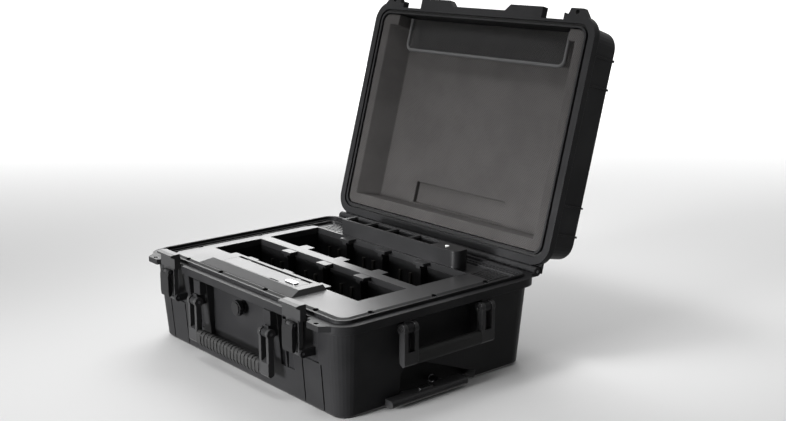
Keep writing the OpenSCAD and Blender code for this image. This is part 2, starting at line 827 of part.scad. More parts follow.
module latch_lever() {
    color([0.05, 0.05, 0.05]) difference() {
        union() {
            bar_x(4.2, latch_x - 13, latch_x + 13, lever_pin_y, lever_pin_z);
            along_x(latch_x - 13, latch_x + 13)
                polygon([[lever_pin_y - 4, lever_pin_z + 4], [lever_pin_y + 1, lever_pin_z],
                         [lever_pin_y + 2, 104], [lever_pin_y - 1, 98], [lever_pin_y - 4.5, 98],
                         [lever_pin_y - 5.5, 106], [lever_pin_y - 5.5, 134], [lever_pin_y - 4, lever_pin_z + 3]]);
        }
        box([latch_x - 5.5, lever_pin_y - 4.6, lever_pin_z - 6], [latch_x + 5.5, lever_pin_y + 6, lever_pin_z + 6]);
        bar_x(lever_pin_r + run_gap, latch_x - 17, latch_x + 17, lever_pin_y, lever_pin_z);
        box([latch_x - 10, lever_pin_y - 2.5, 106], [latch_x + 10, lever_pin_y + 6, 130]);
    }
}

module latch_lever_right() {
    latch_lever();
}

module latch_lever_left() {
    mirror([1, 0, 0]) latch_lever();
}

// ---- Pull handle ----

module tube_pair(r_out, r_in, x0, x1) {
    for (y = tube_ys) difference() {
        bar_x(r_out, x0, x1, y, tube_z);
        bar_x(r_in, x0 - 1, x1 + 1, y, tube_z);
    }
}

module trolley_sleeves() {
    color("silver") difference() {
        union() {
            tube_pair(tube_r, tube_r - 1.2, tube_x0, tube_x1);
            for (y = tube_ys, x = [-180, 0, 180]) difference() {
                box([x - 6, y - 12, wall], [x + 6, y + 12, wall + 10]);
                bar_x(tube_r - EPS, x - 7, x + 7, y, tube_z);
            }
        }
    }
}

module trolley_mid_tubes() {
    color("silver") tube_pair(tube_r - 1.25, tube_r - 2.2, tube_x0 + 12, tube_x1 + 4);
}

module trolley_inner_tubes() {
    color("silver") tube_pair(tube_r - 2.25, tube_r - 3.4, tube_x0 + 24, grip_x0 + 4);
}

module trolley_grip() {
    color([0.11, 0.11, 0.115]) difference() {
        union() {
            hull() for (x = [grip_x0 + 6.5, grip_x1 - 6.5]) bar_y(6.5, grip_y0, grip_y1, x, 10.5);
        }
        for (y = tube_ys) bar_x(tube_r - 2.25, grip_x0 - 1, grip_x0 + 4, y, tube_z);
        translate([grip_x0 + 14, (grip_y0 + grip_y1) / 2, 12]) linear_extrude(8) rotate(90) pill(29, 5.5);
        box([-hw, -hd, 0], [grip_x0 + 10, tube_ys[0] - 8.6, 30]);
    }
}

module trolley_button() {
    color("silver") translate([grip_x0 + 14, (grip_y0 + grip_y1) / 2, 13.6]) linear_extrude(4.8) rotate(90) pill(28, 5);
}

// ---- Wheels ----

module wheel_hub(y) {
    color([0.2, 0.2, 0.2]) difference() {
        bar_y(wheel_r - 7, y - wheel_w / 2, y + wheel_w / 2, wheel_x, wheel_z);
        bar_y(axle_r + run_gap, y - 20, y + 20, wheel_x, wheel_z);
        for (s = [0, 1]) difference() {
            bar_y(wheel_r - 10, y - wheel_w / 2 - 1 + s * (wheel_w - 5), y - wheel_w / 2 + 6 + s * (wheel_w - 5), wheel_x, wheel_z);
            bar_y(7, y - 20, y + 20, wheel_x, wheel_z);
        }
    }
}

module wheel_hub_front() {
    wheel_hub(-wheel_y);
}

module wheel_hub_rear() {
    wheel_hub(wheel_y);
}

module tyre(y) {
    color([0.05, 0.05, 0.05]) translate([wheel_x, y, wheel_z]) rotate([90, 0, 0]) rotate_extrude()
        polygon([[wheel_r - 7, -wheel_w / 2], [wheel_r - 3, -wheel_w / 2], [wheel_r, -wheel_w / 2 + 4],
                 [wheel_r, wheel_w / 2 - 4], [wheel_r - 3, wheel_w / 2], [wheel_r - 7, wheel_w / 2]]);
}

module tyre_front() {
    tyre(-wheel_y);
}

module tyre_rear() {
    tyre(wheel_y);
}

module wheel_axles() {
    color("silver") both_y() bar_y(axle_r, wheel_y - 20, wheel_y + 20, wheel_x, wheel_z);
}

// ---- Lid, drawn closed ----

module lid_knuckles() {
    for (i = [1:2:hinge_n - 1]) {
        x0 = hinge_first + i * hinge_pitch;
        bar_x(knuckle_r, x0, x0 + hinge_pitch - 0.4, hinge_y, hinge_z);
        box([x0, hd - 6, lid_z + 3], [x0 + hinge_pitch - 0.4, hinge_y, hinge_z + knuckle_r]);
    }
}

// Strip on the lid that covers the hinge line
module hinge_cover() {
    box([-hinge_first - hinge_n * hinge_pitch, hd - 6, hinge_z + knuckle_r + 0.5],
        [hinge_first + hinge_n * hinge_pitch, hinge_y + 2.5, lid_z + flange_h]);
}

module lid_outer() {
    drafted(2 * wall_x, 2 * (wall_y - 2), wall_r, lid_z + 5, 2 * (wall_x - 2), 2 * (wall_y - 6), wall_r - 3, lid_top - 9);
    drafted(2 * (wall_x - 2), 2 * (wall_y - 6), wall_r - 3, lid_top - 9 - EPS, 2 * (wall_x - 10), 2 * (wall_y - 14), wall_r - 9, lid_top);
}

module lid_rib(y) {
    along_y(y - 1.5, y + 1.5) difference() {
        polygon([[-wall_x - 2, lid_z + 10], [-wall_x - 1, lid_top - 8], [-wall_x + 8, lid_top + 2],
                 [wall_x - 8, lid_top + 2], [wall_x + 1, lid_top - 8], [wall_x + 2, lid_z + 10]]);
        polygon([[-wall_x + 3, lid_z + 9], [-wall_x + 5, lid_top - 12], [-wall_x + 13, lid_top - 3],
                 [wall_x - 13, lid_top - 3], [wall_x - 5, lid_top - 12], [wall_x - 3, lid_z + 9]]);
    }
}

module catch_boss() {
    translate([0, 0, lid_z]) linear_extrude(flange_h)
        polygon([[62, -hd + 4], [78, -hd - 11], [204, -hd - 11], [206, -hd + 4]]);
}

module lid_shell_closed() {
    difference() {
        union() {
            slab(case_w, case_d, corner_r, lid_z, lid_z + flange_h);
            lid_outer();
            both_x() catch_boss();
            both_x() lid_knuckles();
            hinge_cover();
            for (y = [-150, -101, 103, 153]) lid_rib(y);
            both_x() mirror([0, 1, 0]) padlock_lug(lid_z, lid_z + 9);
        }
        // Hollow and gasket groove
        slab(case_w - 44, case_d - 42, corner_r - 20, lid_z - 1, lid_top - 9);
        drafted(case_w - 44, case_d - 42, corner_r - 20, lid_top - 9 - EPS,
                2 * (wall_x - 16 - wall), 2 * (wall_y - 20 - wall), wall_r - 16, lid_top - wall);
        rim_ring(tongue_in - 0.6, tongue_in + tongue_w + 0.6, lid_z - 1, lid_z + 8);
        // Room for each latch, and the pocket over its catch ledge
        both_x() box([latch_x - 25, -hd - 20, lid_z - 1], [latch_x + 25, -hd + 8.3, lid_z + flange_h + 1]);
        both_x() box([latch_x - 25, -hd - 20, lid_z + flange_h], [latch_x + 25, -hd + 7, lid_z + 30]);
        both_x() box([latch_x - 14, -hd, lid_z + 4], [latch_x + 14, -hd + 12.2, lid_z + 16]);
        both_x() bar_x(hinge_pin_r + run_gap, hinge_first - 1, hinge_first + hinge_n * hinge_pitch + 1, hinge_y, hinge_z);
        both_x() translate([233, -hd - 5.5, lid_z - 1]) cylinder(r = 5.5, h = 20);
    }
}

module lid_shell() {
    color([0.10, 0.10, 0.105]) opened() lid_shell_closed();
}

module lid_bushings() {
    color("silver") opened() both_x() translate([233, -hd - 5.5, lid_z]) difference() {
        cylinder(r = 5.5, h = 9);
        translate([0, 0, -1]) cylinder(r = 4, h = 11);
    }
}

module lid_gasket() {
    color([0.03, 0.03, 0.03]) opened()
        rim_ring(tongue_in - 0.6, tongue_in + tongue_w + 0.6, lid_z + 5.3, lid_z + 8);
}

module lid_foam() {
    fx = hw - 22 - foam_frame;
    fy = hd - 21 - foam_frame - 2;
    color([0.25, 0.24, 0.235]) opened() difference() {
        drafted(case_w - 45, case_d - 43, corner_r - 21, lid_z + 3,
                2 * (wall_x - 10 - wall), 2 * (wall_y - 10 - wall), wall_r - 11, lid_top - 10);
        drafted(2 * fx, 2 * fy, 3, lid_z + 2, 2 * (fx - 24), 2 * (fy - 3), 3, foam_floor);
        hull() {
            box([-213, -hd, lid_z + 2], [222, -hd + 60, lid_z + 2 + EPS]);
            box([-205, -hd, foam_floor - EPS], [214, -hd + 60, foam_floor]);
        }
        box([-118, 121, foam_floor - 1], [118, 161, foam_floor + 8]);
    }
}

module mesh_pocket() {
    color([0.17, 0.17, 0.18]) opened() box([-197, -187, rim_z + 23], [206, -127, rim_z + 27]);
}

module pocket_piping() {
    color([0.20, 0.20, 0.21]) opened() {
        bar_x(2.4, -199.4, 208.4, -124.5, rim_z + 25);
        for (x = [-199.4, 208.4]) bar_y(2.4, -187, -124.5, x, rim_z + 25);
        for (x = [-199.4, 208.4]) translate([x, -124.5, rim_z + 25]) sphere(r = 2.4);
    }
}

// ---- Every node ----
base_shell();
base_bushings();
feet_pads();
hinge_pins();
deck_panel();
deck_screws();
bay_liner_front();
bay_liner_rear();
bay_contacts();
small_tray();
small_contacts();
status_light();
vent_grille_left();
vent_grille_right();
fan_frame_left();
fan_frame_right();
fan_rotor_left();
fan_rotor_right();
power_supply();
control_board();
port_housing();
port_sockets();
port_door();
door_pins();
door_button();
valve_body();
valve_knob();
front_handle();
front_grip();
front_handle_pins();
side_handle();
side_grip();
side_handle_pins();
latch_pins();
latch_jaw_left();
latch_jaw_right();
latch_hook_left();
latch_hook_right();
lever_pin_left();
lever_pin_right();
latch_lever_left();
latch_lever_right();
trolley_sleeves();
trolley_mid_tubes();
trolley_inner_tubes();
trolley_grip();
trolley_button();
wheel_hub_front();
wheel_hub_rear();
tyre_front();
tyre_rear();
wheel_axles();
lid_shell();
lid_bushings();
lid_gasket();
lid_foam();
mesh_pocket();
pocket_piping();
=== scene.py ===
"""Studio scene of an open, wheeled battery charging case.

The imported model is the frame. The lid's foam lining, its net pocket and the piping
are modelled here; every other part keeps its solid and gets a finish of its own.
"""

import json
import logging
import math
from dataclasses import dataclass, field
from enum import Enum
from typing import Callable, Optional, Sequence, Union

import bpy
from mathutils import Matrix, Vector


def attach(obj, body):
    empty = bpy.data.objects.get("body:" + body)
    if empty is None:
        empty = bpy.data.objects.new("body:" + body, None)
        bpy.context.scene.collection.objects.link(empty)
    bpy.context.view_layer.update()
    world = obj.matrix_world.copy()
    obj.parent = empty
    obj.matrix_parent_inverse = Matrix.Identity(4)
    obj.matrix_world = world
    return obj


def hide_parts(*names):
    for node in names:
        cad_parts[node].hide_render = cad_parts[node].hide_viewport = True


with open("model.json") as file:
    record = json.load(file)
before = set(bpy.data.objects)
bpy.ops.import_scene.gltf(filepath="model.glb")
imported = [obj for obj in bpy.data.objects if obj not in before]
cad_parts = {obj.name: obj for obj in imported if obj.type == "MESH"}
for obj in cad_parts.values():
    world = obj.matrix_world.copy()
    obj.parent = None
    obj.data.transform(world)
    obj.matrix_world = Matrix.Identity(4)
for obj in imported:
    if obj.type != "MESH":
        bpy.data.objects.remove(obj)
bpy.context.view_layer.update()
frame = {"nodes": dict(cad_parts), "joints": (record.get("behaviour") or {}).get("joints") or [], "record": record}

LOG = logging.getLogger("charging_case")
MM = 0.001
UP = Vector((0.0, 0.0, 1.0))
ZERO = (0.0, 0.0, 0.0)
UNIT = (1.0, 1.0, 1.0)
BLACK = (0.0, 0.0, 0.0)
WHITE = (1.0, 1.0, 1.0)
Rgb = tuple[float, float, float]
Point = Sequence[float]


# ---- Material nodes written as maths ----


class Sock:
    """An output of a node, on which maths is written as Python."""

    def __init__(self, nodes: "Nodes", socket: bpy.types.NodeSocket) -> None:
        """Keeps the socket and the nodes that it belongs to."""
        self.nodes = nodes
        self.socket = socket

    def _maths(self, operation: str, *values: "Value") -> "Sock":
        """Adds one Math node.

        Args:
            operation: The node's operation.
            values: What goes into its inputs, in order.

        Returns:
            The node's result.
        """
        return self.nodes.node(
            "ShaderNodeMath", {"operation": operation}, dict(enumerate(values))
        )

    def __add__(self, other: "Value") -> "Sock":
        """self + other."""
        return self._maths("ADD", self, other)

    def __sub__(self, other: "Value") -> "Sock":
        """self - other."""
        return self._maths("SUBTRACT", self, other)

    def __rsub__(self, other: "Value") -> "Sock":
        """other - self."""
        return self._maths("SUBTRACT", other, self)

    def __mul__(self, other: "Value") -> "Sock":
        """self * other."""
        return self._maths("MULTIPLY", self, other)

    def __abs__(self) -> "Sock":
        """The size of self without its sign."""
        return self._maths("ABSOLUTE", self)

    __radd__ = __add__
    __rmul__ = __mul__

    def sine(self) -> "Sock":
        """The sine of self, in radians."""
        return self._maths("SINE", self)

    def lower(self, other: "Value") -> "Sock":
        """The smaller of self and other."""
        return self._maths("MINIMUM", self, other)

    def higher(self, other: "Value") -> "Sock":
        """The larger of self and other."""
        return self._maths("MAXIMUM", self, other)

    def spread(self, low: float, high: float) -> "Sock":
        """Maps low to 0 and high to 1, smoothly, and holds the ends.

        Args:
            low: The value that becomes 0.
            high: The value that becomes 1.

        Returns:
            The mapped value.
        """
        return self.nodes.node(
            "ShaderNodeMapRange",
            {"interpolation_type": "SMOOTHSTEP"},
            {"Value": self, "From Min": low, "From Max": high},
        )


Value = Union[Sock, float, int]


class Nodes:
    """A node tree that starts empty."""

    def __init__(self, tree: bpy.types.NodeTree) -> None:
        """Empties the tree and keeps it."""
        tree.nodes.clear()
        self.tree = tree

    def node(
        self,
        kind: str,
        settings: Optional[dict] = None,
        inputs: Optional[dict] = None,
        output: Union[int, str] = 0,
    ) -> Sock:
        """Adds any node.

        Args:
            kind: The node's type.
            settings: Its settings, which are set first.
            inputs: Values or links for its sockets, by name or place.
            output: The output that is wanted.

        Returns:
            That output.
        """
        made = self.tree.nodes.new(kind)
        for name, value in (settings or {}).items():
            setattr(made, name, value)
        for key, value in (inputs or {}).items():
            if isinstance(value, Sock):
                self.tree.links.new(value.socket, made.inputs[key])
            else:
                made.inputs[key].default_value = value
        return Sock(self, made.outputs[output])

    def along(self, point: Sock, way: Union[Sock, Point]) -> Sock:
        """How far a vector goes along a way: their dot product.

        Args:
            point: The vector.
            way: The way.

        Returns:
            The product.
        """
        return self.node(
            "ShaderNodeVectorMath", {"operation": "DOT_PRODUCT"}, {0: point, 1: way}, "Value"
        )

    def end(self, kind: str, surface: bpy.types.NodeSocket) -> None:
        """Adds the tree's output node and links its surface.

        Args:
            kind: The output node's type.
            surface: The output of a shader.
        """
        made = self.tree.nodes.new(kind)
        self.tree.links.new(surface, made.inputs["Surface"])


class Graph(Nodes):
    """The nodes of one material."""

    def __init__(self, name: str) -> None:
        """Starts a material with a shader and an output."""
        self.material = bpy.data.materials.new(name)
        self.material.use_nodes = True
        super().__init__(self.material.node_tree)
        self.shader = self.tree.nodes.new("ShaderNodeBsdfPrincipled")
        self.end("ShaderNodeOutputMaterial", self.shader.outputs[0])

    def place(self) -> Sock:
        """The point on the piece, in metres, in the frame at rest."""
        return self.node("ShaderNodeTexCoord", output="Object")

    def facing(self) -> Sock:
        """The piece's own normal."""
        return self.node("ShaderNodeTexCoord", output="Normal")

    def turned(
        self, point: Sock, turn: Point = ZERO, shift: Point = ZERO, stretch: Point = UNIT
    ) -> Sock:
        """Stretches, turns and then shifts a point.

        Args:
            point: The point.
            turn: Angles about the axes, in radians.
            shift: What is added after the turn.
            stretch: Factors along the axes.

        Returns:
            The moved point.
        """
        return self.node(
            "ShaderNodeMapping",
            None,
            {"Vector": point, "Rotation": turn, "Location": shift, "Scale": stretch},
        )

    def axis(self, point: Sock, name: str) -> Sock:
        """One coordinate of a point, by its letter."""
        return self.node("ShaderNodeSeparateXYZ", None, {0: point}, name)

    def noise(self, point: Sock, size: float, detail: float = 2.0, rough: float = 0.5) -> Sock:
        """Cloudy noise from 0 to 1.

        Args:
            point: Where it is read.
            size: The size of its clouds, in metres.
            detail: How many finer layers it has.
            rough: How strong those are.

        Returns:
            The noise.
        """
        return self.node(
            "ShaderNodeTexNoise",
            None,
            {"Vector": point, "Scale": 1.0 / size, "Detail": detail, "Roughness": rough},
        )

    def cells(self, point: Sock, size: float, randomness: float = 1.0, flat: bool = False) -> Sock:
        """Distance to the nearest cell centre, in cell sizes.

        Args:
            point: Where it is read.
            size: The size of a cell, in metres.
            randomness: 0 for a regular grid, 1 for a scattered one.
            flat: Whether only X and Y count.

        Returns:
            The distance.
        """
        return self.node(
            "ShaderNodeTexVoronoi",
            {"feature": "F1", "voronoi_dimensions": "2D" if flat else "3D"},
            {"Vector": point, "Scale": 1.0 / size, "Randomness": randomness},
        )

    def blend(self, share: Value, first: Union[Sock, Rgb], second: Union[Sock, Rgb]) -> Sock:
        """Mixes two colours.

        Args:
            share: How much of the second colour.
            first: A colour.
            second: Another colour.

        Returns:
            The mixed colour.
        """
        colours = [c if isinstance(c, Sock) else (*c, 1.0) for c in (first, second)]
        return self.node(
            "ShaderNodeMix",
            {"data_type": "RGBA"},
            {0: share, 6: colours[0], 7: colours[1]},
            2,
        )

    def rounded(self, radius: float) -> Sock:
        """A normal that turns round each edge with this radius, in metres."""
        return self.node("ShaderNodeBevel", {"samples": 4}, {"Radius": radius})

    def edges(self, rounded: Sock) -> Sock:
        """How near an edge is: 0 on flats, up to 1.

        Args:
            rounded: The rounded normal.

        Returns:
            The nearness.
        """
        plain = self.node("ShaderNodeNewGeometry", output="Normal")
        return (1.0 - self.along(rounded, plain)).spread(0.0, 0.25)

    def bump(self, height: Sock, depth: float, normal: Optional[Sock] = None) -> Sock:
        """A bumped normal.

        Args:
            height: The relief, from 0 to 1.
            depth: Its depth, in metres.
            normal: The normal that it stands on.

        Returns:
            The normal.
        """
        links = {"Height": height, "Distance": depth, "Strength": 1.0}
        if normal is not None:
            links["Normal"] = normal
        return self.node("ShaderNodeBump", None, links)

    def done(self, **sockets: Union[Value, Rgb]) -> bpy.types.Material:
        """Sets the shader's sockets and gives the material back.

        Args:
            sockets: Values or links, by socket name with _ for each space.

        Returns:
            The material.
        """
        for name, value in sockets.items():
            target = self.shader.inputs[name.replace("_", " ").title().replace("Ior", "IOR")]
            if isinstance(value, Sock):
                self.tree.links.new(value.socket, target)
            elif isinstance(value, tuple):
                target.default_value = (*value, 1.0)
            else:
                target.default_value = value
        return self.material


# ---- Finishes ----


@dataclass(frozen=True)
class Finish:
    """A finish: its material's name and its main colour."""

    name: str
    colour: Rgb

    def shade(self, factor: float, lift: float = 0.0) -> Rgb:
        """The main colour times a factor, plus a lift."""
        return tuple(min(1.0, c * factor + lift) for c in self.colour)

    def build(self) -> bpy.types.Material:
        """Makes the material, which each kind of finish does in its own way."""
        raise NotImplementedError


class Axis(Enum):
    """The way that a brushed or drawn finish runs: its lines are long along this axis."""

    X = (0.02, 1.0, 1.0)
    Y = (1.0, 0.02, 1.0)
    Z = (1.0, 1.0, 0.02)


@dataclass(frozen=True)
class Moulded(Finish):
    """Moulded plastic or rubber: fine grain, rubbed edges, faint scuffs and dust."""

    rough: float
    grain: float = 0.9 * MM
    relief: float = 0.05 * MM
    edge: float = 0.9 * MM
    rubbed: float = 0.35
    mottle: float = 0.25
    sheen: float = 0.5
    cloud: float = 90 * MM
    scuff: float = 3 * MM
    scuff_turn: Point = (0.3, 0.2, 0.5)
    scuff_stretch: Point = (1.0, 0.06, 1.0)
    scuffed: float = 0.25

    def build(self) -> bpy.types.Material:
        """Makes the material.

        Returns:
            The material.
        """
        g = Graph(self.name)
        at = g.place()
        grain = g.noise(at, self.grain, 2.0, 0.6)
        pits = g.cells(at, self.grain * 1.6)
        clouds = g.noise(at, self.cloud, 3.0, 0.55)
        slanted = g.turned(at, self.scuff_turn, stretch=self.scuff_stretch)
        streaks = g.noise(slanted, self.scuff, 3.0, 0.7)
        scuffs = streaks.spread(0.66, 0.78) * clouds.spread(0.5, 0.7)
        rounded = g.rounded(self.edge)
        rim = g.edges(rounded)
        pale = self.shade(1.0 + self.mottle, 0.004)
        worn = self.shade(2.2, 0.02)
        tone = g.blend(clouds.spread(0.3, 0.75), self.colour, pale)
        tone = g.blend(rim * self.rubbed, tone, worn)
        tone = g.blend(scuffs * self.scuffed, tone, worn)
        rough = self.rough + (clouds - 0.5) * 0.10 + (grain - 0.5) * 0.12
        rough = rough - rim * 0.08 + scuffs * 0.08
        relief = grain * 0.55 + pits * 0.45
        return g.done(
            base_color=tone,
            roughness=rough.higher(0.05).lower(1.0),
            normal=g.bump(relief, self.relief, rounded),
            specular_ior_level=self.sheen,
        )


@dataclass(frozen=True)
class Metal(Finish):
    """Brushed or drawn metal with fine lines along one way."""

    rough: float
    way: Axis = Axis.X
    edge: float = 0.3 * MM
    line: float = 0.35 * MM
    cloud: float = 25 * MM
    relief: float = 0.02 * MM

    def build(self) -> bpy.types.Material:
        """Makes the material.

        Returns:
            The material.
        """
        g = Graph(self.name)
        at = g.place()
        lines = g.noise(g.turned(at, stretch=self.way.value), self.line, 3.0, 0.7)
        clouds = g.noise(at, self.cloud, 3.0)
        dull = self.shade(0.72)
        tone = g.blend(clouds.spread(0.3, 0.7) * 0.5 + lines * 0.3, self.colour, dull)
        rough = self.rough + (lines - 0.5) * 0.18 + (clouds - 0.5) * 0.1
        return g.done(
            base_color=tone,
            roughness=rough.higher(0.05),
            metallic=1.0,
            normal=g.bump(lines, self.relief, g.rounded(self.edge)),
        )


@dataclass(frozen=True)
class LidSwing:
    """The lid's turn from closed to open, for pieces and patterns drawn on the closed lid."""

    hinge: Point
    angle: float

    def opening(self) -> Matrix:
        """The turn about the hinge from closed to open."""
        pivot = Matrix.Translation(Vector(self.hinge))
        return pivot @ Matrix.Rotation(-self.angle, 4, "X") @ pivot.inverted()

    def upward(self) -> Point:
        """The closed lid's upward way, as it points with the lid open."""
        return tuple(self.opening().to_3x3() @ UP)

    def closed(self, g: Graph) -> Sock:
        """The point on a piece of the open lid as if the lid were closed.

        Args:
            g: The material's nodes.

        Returns:
            The point.
        """
        shift = self.opening().inverted().translation
        return g.turned(g.place(), (self.angle, 0.0, 0.0), tuple(shift))


@dataclass(frozen=True)
class Foam(Finish):
    """Closed-cell lining foam with a punched, dotted face, with painted shade in the holes."""

    lid: LidSwing
    pitch: float = 3.4 * MM
    fine: float = 0.8 * MM
    cloud: float = 60 * MM
    relief: float = 0.35 * MM
    edge: float = 2.0 * MM
    sheen: float = 0.25

    def build(self) -> bpy.types.Material:
        """Makes the material. The dots are in staggered rows, on level faces only, and darkened with painted
        shade.

        Returns:
            The material.
        """
        g = Graph(self.name)
        at = self.lid.closed(g)
        fine = g.noise(at, self.fine, 2.0, 0.6)
        clouds = g.noise(at, self.cloud, 3.0)
        slanted = g.turned(at, (0.0, 0.0, math.radians(45)))
        holes = 1.0 - g.cells(slanted, self.pitch, 0.0, True).spread(0.2, 0.36)
        level = abs(g.along(g.facing(), self.lid.upward())).spread(0.85, 0.97)
        dots = holes * level
        grain_and_hole_shade = self.shade(0.45)
        pale = self.shade(1.22)
        tone = g.blend(clouds.spread(0.3, 0.7), self.colour, pale)
        tone = g.blend(fine.spread(0.45, 0.75) * 0.3, tone, grain_and_hole_shade)
        # painted shade: the punched holes are darkened, as the shade that falls inside them
        tone = g.blend(dots * 0.75, tone, grain_and_hole_shade)
        relief = fine * 0.3 + (1.0 - dots) * 0.7
        return g.done(
            base_color=tone,
            roughness=0.86 + (fine - 0.5) * 0.1,
            normal=g.bump(relief, self.relief, g.rounded(self.edge)),
            specular_ior_level=self.sheen,
        )


@dataclass(frozen=True)
class Net(Finish):
    """Knitted elastic net: crossed strands with open diamonds."""

    lid: LidSwing
    pitch: float = 3.0 * MM
    fibre: float = 0.25 * MM
    relief: float = 0.3 * MM

    def build(self) -> bpy.types.Material:
        """Makes the material.

        Returns:
            The material.
        """
        g = Graph(self.name)
        at = self.lid.closed(g)
        x, y = g.axis(at, "X"), g.axis(at, "Y")
        turn = math.pi / self.pitch
        one = abs(((x + y) * turn).sine())
        two = abs(((x - y) * turn).sine())
        near = one.lower(two)
        strands = 1.0 - near.spread(0.42, 0.52)
        fibre = g.noise(at, self.fibre, 2.0)
        return g.done(
            base_color=g.blend(fibre, self.colour, self.shade(1.6)),
            roughness=0.75,
            alpha=strands,
            normal=g.bump((1.0 - near) * 0.7 + fibre * 0.3, self.relief),
        )


@dataclass(frozen=True)
class Woven(Finish):
    """Narrow woven tape or piping."""

    thread: float = 0.9 * MM
    fibre: float = 0.3 * MM
    relief: float = 0.2 * MM

    def build(self) -> bpy.types.Material:
        """Makes the material.

        Returns:
            The material.
        """
        g = Graph(self.name)
        at = g.place()
        turn = math.pi / self.thread
        weave = abs((g.axis(at, "X") * turn).sine()) * 0.5
        weave = weave + abs(((g.axis(at, "Y") + g.axis(at, "Z")) * turn).sine()) * 0.5
        fibre = g.noise(at, self.fibre, 2.0)
        return g.done(
            base_color=g.blend(weave * 0.6 + fibre * 0.4, self.shade(0.5), self.colour),
            roughness=0.8 + (fibre - 0.5) * 0.1,
            normal=g.bump(weave * 0.7 + fibre * 0.3, self.relief),
        )


@dataclass(frozen=True)
class Board(Finish):
    """Coated circuit board with traces."""

    block: float = 7 * MM
    trace_pitch: float = 1.6 * MM
    cloud: float = 12 * MM
    relief: float = 0.05 * MM
    edge: float = 0.4 * MM

    def build(self) -> bpy.types.Material:
        """Makes the material.

        Returns:
            The material.
        """
        g = Graph(self.name)
        at = g.place()
        blocks = g.cells(at, self.block, 0.5)
        lines = abs((g.axis(at, "X") * (math.pi / self.trace_pitch)).sine()).spread(0.8, 0.95)
        clouds = g.noise(at, self.cloud, 2.0)
        trace = lines * blocks.spread(0.3, 0.5)
        return g.done(
            base_color=g.blend(trace, self.colour, self.shade(1.8, 0.01)),
            roughness=0.3 + clouds * 0.12,
            normal=g.bump(trace, self.relief, g.rounded(self.edge)),
        )


@dataclass(frozen=True)
class Lens(Finish):
    """Frosted light window."""

    glow: float
    frost_size: float = 0.5 * MM
    frost_colour: Rgb = (0.6, 0.6, 0.58)
    relief: float = 0.03 * MM
    edge: float = 0.4 * MM

    def build(self) -> bpy.types.Material:
        """Makes the material.

        Returns:
            The material.
        """
        g = Graph(self.name)
        frost = g.noise(g.place(), self.frost_size, 2.0)
        tone = g.blend(frost * 0.2, self.colour, self.frost_colour)
        return g.done(
            base_color=tone,
            roughness=0.25 + frost * 0.15,
            emission_color=tone,
            emission_strength=self.glow,
            normal=g.bump(frost, self.relief, g.rounded(self.edge)),
        )


@dataclass(frozen=True)
class Ground(Finish):
    """Matt studio floor with a painted glow that rises from near to far, in metres, so the far floor reads as a
    bright backdrop.
    """

    near: float = 1.0
    far: float = 4.4
    cloud: float = 2.0
    cloud_colour: Rgb = (0.7, 0.7, 0.7)

    def build(self) -> bpy.types.Material:
        """Makes the material.

        Returns:
            The material.
        """
        g = Graph(self.name)
        clouds = g.noise(g.place(), self.cloud, 2.0)
        tone = g.blend(clouds * 0.05, self.colour, self.cloud_colour)
        distance_for_painted_glow = g.node("ShaderNodeVectorMath", {"operation": "LENGTH"}, {0: g.place()}, "Value")
        return g.done(
            base_color=tone,
            roughness=0.9,
            specular_ior_level=0.1,
            # painted light: the floor glows more the farther it lies from the middle, standing in for the light on
            # the far floor
            emission_color=g.blend(distance_for_painted_glow.spread(self.near, self.far), BLACK, WHITE),
            emission_strength=1.0,
        )


# ---- Mesh tools ----


